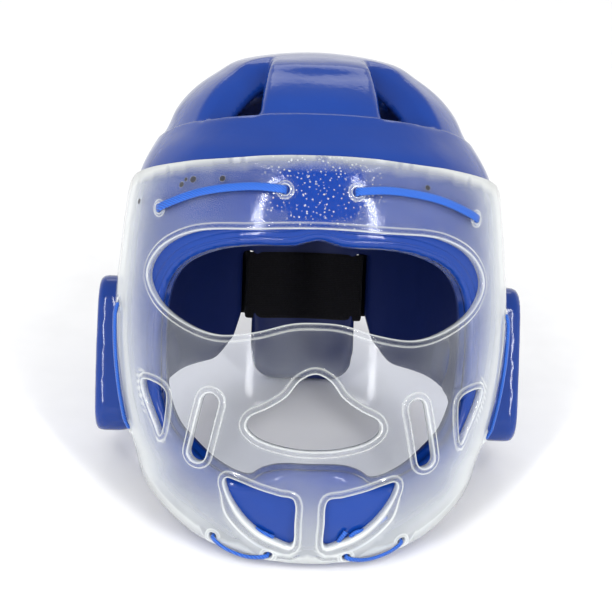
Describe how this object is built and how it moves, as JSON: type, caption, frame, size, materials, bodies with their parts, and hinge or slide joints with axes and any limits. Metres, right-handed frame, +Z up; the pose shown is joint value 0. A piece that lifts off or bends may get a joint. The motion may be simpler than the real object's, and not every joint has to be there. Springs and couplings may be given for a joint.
{
  "type": "karate headgear",
  "caption": "Padded dipped-foam head guard for karate with ear pads, crown openings, a laced clear face shield with vents and an elastic strap across the back",
  "frame": {"origin": "on the floor under the middle of the guard's bounding box, as it rests on its chin and nape tongue", "axes": "+Z up, the face looks along -Y, +X to the right seen from the front"},
  "size_m": [0.228, 0.265, 0.2236],
  "materials": {
    "dipped_foam": "smooth glossy dipped coating",
    "clear_shield": "clear moulded plastic",
    "lace": "woven lace",
    "elastic_strap": "black woven elastic"
  },
  "bodies": {
    "root": {"foam_shell": "dipped_foam", "face_shield": "clear_shield", "lace_brow_left": "lace", "lace_brow_right": "lace", "lace_side_left": "lace", "lace_side_right": "lace", "lace_chin_left": "lace", "lace_chin_right": "lace", "lace_knot": "lace", "rear_strap": "elastic_strap"}
  },
  "joints": []
}
